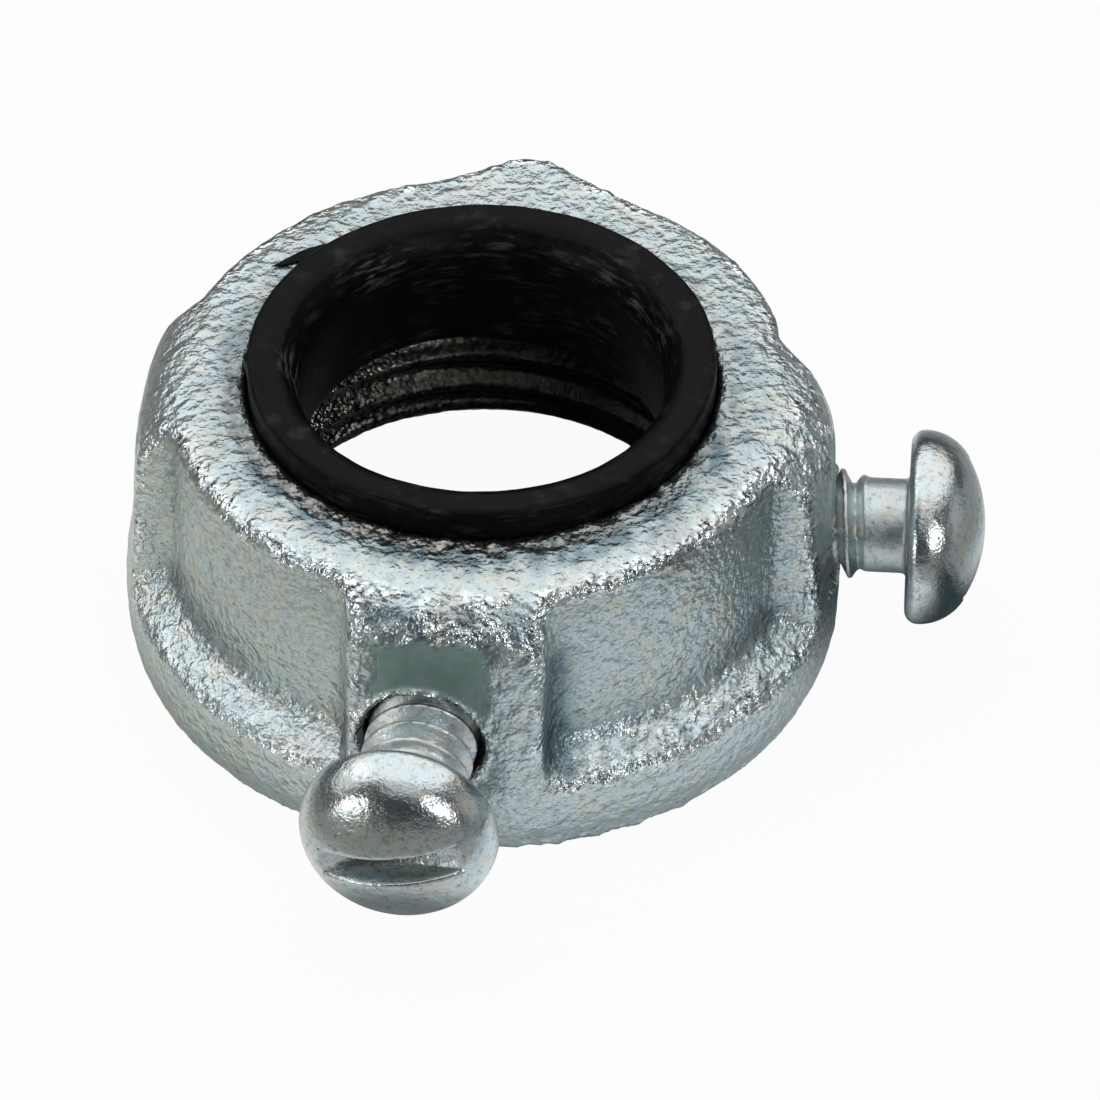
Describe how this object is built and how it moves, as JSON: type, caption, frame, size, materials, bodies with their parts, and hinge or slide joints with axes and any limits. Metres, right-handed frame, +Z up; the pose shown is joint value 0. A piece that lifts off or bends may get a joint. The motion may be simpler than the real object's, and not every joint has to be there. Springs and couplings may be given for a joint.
{
  "type": "conduit bushing",
  "caption": "Insulated conduit bushing: a zinc-plated iron ring with bosses and a threaded bore, a black plastic throat liner and radial slotted clamping screws.",
  "frame": {"origin": "centre of the lower rim's plane, on the axis of the bore", "axes": "+Z up along the bore through the throat, +X along the bonding screw, +Y away from the set screw's side"},
  "size_m": [0.038, 0.0391, 0.0149],
  "materials": {
    "plated_casting": "zinc-plated rough casting, pale blue-grey",
    "black_plastic": "black moulded plastic, satin with fine scuffs",
    "plated_steel": "zinc-plated steel, smooth blue-grey"
  },
  "bodies": {
    "root": {"bushing_body": "plated_casting", "throat_liner": "black_plastic"},
    "set_screw": {"set_screw": "plated_steel"},
    "bonding_screw": {"bonding_screw": "plated_steel"}
  },
  "joints": [
    {"name": "set_screw_travel", "type": "slide", "parent": "root", "child": "set_screw", "axis": [-0.0976, -0.9952, 0], "range_m": [-0.004, 0.002]},
    {"name": "bonding_screw_travel", "type": "slide", "parent": "root", "child": "bonding_screw", "axis": [1, 0, 0], "range_m": [-0.0028, 0.0031]}
  ]
}
